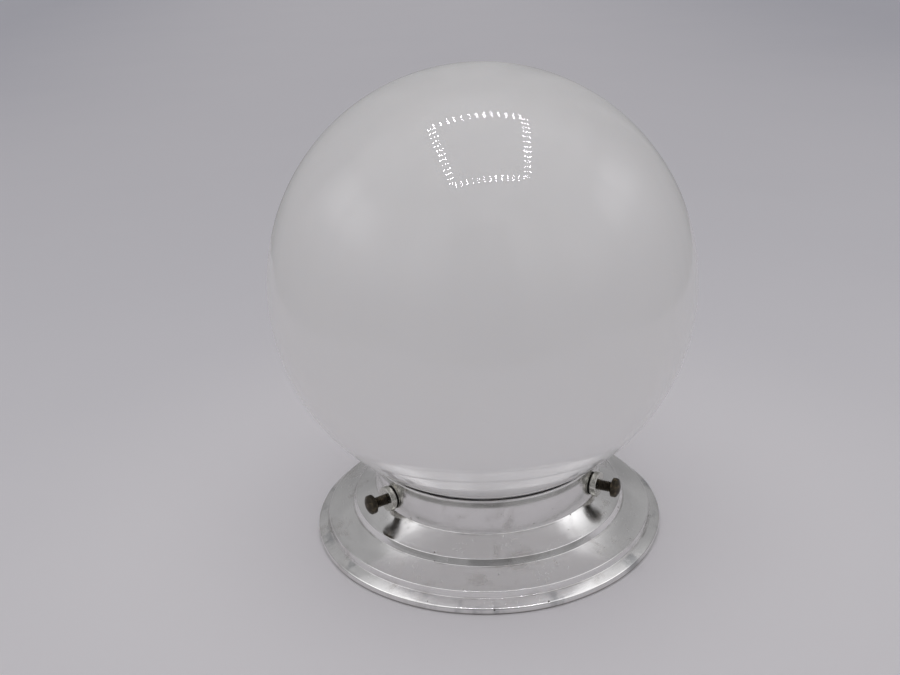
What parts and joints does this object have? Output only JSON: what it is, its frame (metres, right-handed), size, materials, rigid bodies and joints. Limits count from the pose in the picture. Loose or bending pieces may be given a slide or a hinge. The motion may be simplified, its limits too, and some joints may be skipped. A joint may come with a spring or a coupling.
{
  "type": "globe ceiling light",
  "caption": "Opal glass globe held by thumb screws in a stepped polished metal gallery, standing on the gallery's rim.",
  "frame": {"origin": "centre of the gallery rim's resting face", "axes": "+Z along the globe's axis from the rim to the crown; +X to the right and -Y to the front of a view with two thumb screws in sight and the third behind"},
  "size_m": [0.2032, 0.2032, 0.2302],
  "materials": {
    "polished_aluminium": "hand polished casting with spin lines, fine scratches and small pits",
    "bush_metal": "turned and dulled",
    "aged_brass": "dark bronze tarnish, brighter on the thread crests and knurl",
    "opal_glass": "glossy flashed opal, thin brown soiling at the neck",
    "zinc_steel": "zinc plated, dulled",
    "holder_brass": "satin lacquered brass with tarnish",
    "terminal_brass": "clean turned brass",
    "porcelain": "glazed white porcelain",
    "spring_steel": "bright drawn wire",
    "solder": "dull domed solder",
    "cap_glass": "glossy black fused glass",
    "cap_brass": "thin bright brass",
    "lamp_glass": "clear blown glass",
    "stem_glass": "clear drawn glass",
    "nickel_wire": "nickel plated wire",
    "tungsten": "grey coiled wire"
  },
  "bodies": {
    "gallery": {"gallery": "polished_aluminium", "screw_bush_left": "bush_metal", "screw_bush_right": "bush_metal", "screw_bush_rear": "bush_metal", "back_strap": "zinc_steel", "strap_screws": "zinc_steel", "strap_nuts": "zinc_steel", "earth_screw": "terminal_brass", "earth_washer": "terminal_brass", "holder_nipple": "holder_brass", "holder_locknut": "holder_brass", "holder_cap": "holder_brass", "holder_divider": "porcelain", "holder_skirt": "holder_brass", "holder_ring": "holder_brass", "terminal_front": "terminal_brass", "terminal_back": "terminal_brass", "terminal_screws": "zinc_steel", "plunger_spring_front": "spring_steel", "plunger_spring_back": "spring_steel"},
    "globe": {"opal_globe": "opal_glass"},
    "screw_left": {"gallery_screw_left": "aged_brass"},
    "screw_right": {"gallery_screw_right": "aged_brass"},
    "screw_rear": {"gallery_screw_rear": "aged_brass"},
    "lamp": {"lamp_contacts": "solder", "lamp_cap_insulator": "cap_glass", "lamp_cap_shell": "cap_brass", "lamp_pins": "cap_brass", "lamp_envelope": "lamp_glass", "lamp_stem": "stem_glass", "lamp_leads": "nickel_wire", "lamp_supports": "nickel_wire", "lamp_filament": "tungsten"},
    "plunger_front": {"plunger_front": "terminal_brass"},
    "plunger_back": {"plunger_back": "terminal_brass"}
  },
  "joints": [
    {"name": "globe_lift", "type": "slide", "parent": "gallery", "child": "globe", "axis": [0, 0, 1], "range_m": [0, 0.16]},
    {"name": "screw_left_travel", "type": "slide", "parent": "gallery", "child": "screw_left", "axis": [0.866, 0.5, 0], "range_m": [-0.004, 0.0033]},
    {"name": "screw_right_travel", "type": "slide", "parent": "gallery", "child": "screw_right", "axis": [-0.866, 0.5, 0], "range_m": [-0.004, 0.0033]},
    {"name": "screw_rear_travel", "type": "slide", "parent": "gallery", "child": "screw_rear", "axis": [0, -1, 0], "range_m": [-0.004, 0.0033]},
    {"name": "lamp_push", "type": "slide", "parent": "gallery", "child": "lamp", "axis": [0, 0, -1], "range_m": [0, 0.0025], "stiffness_N_per_m": 2000, "springref_m": -0.005},
    {"name": "plunger_front_travel", "type": "slide", "parent": "gallery", "child": "plunger_front", "axis": [0, 0, -1], "range_m": [0, 0.0025], "deforming": ["plunger_spring_front"]},
    {"name": "plunger_back_travel", "type": "slide", "parent": "gallery", "child": "plunger_back", "axis": [0, 0, -1], "range_m": [0, 0.0025], "deforming": ["plunger_spring_back"]}
  ],
  "couplings": [
    {"joint": "plunger_front_travel", "follows": "lamp_push", "ratio": 1},
    {"joint": "plunger_back_travel", "follows": "lamp_push", "ratio": 1}
  ]
}
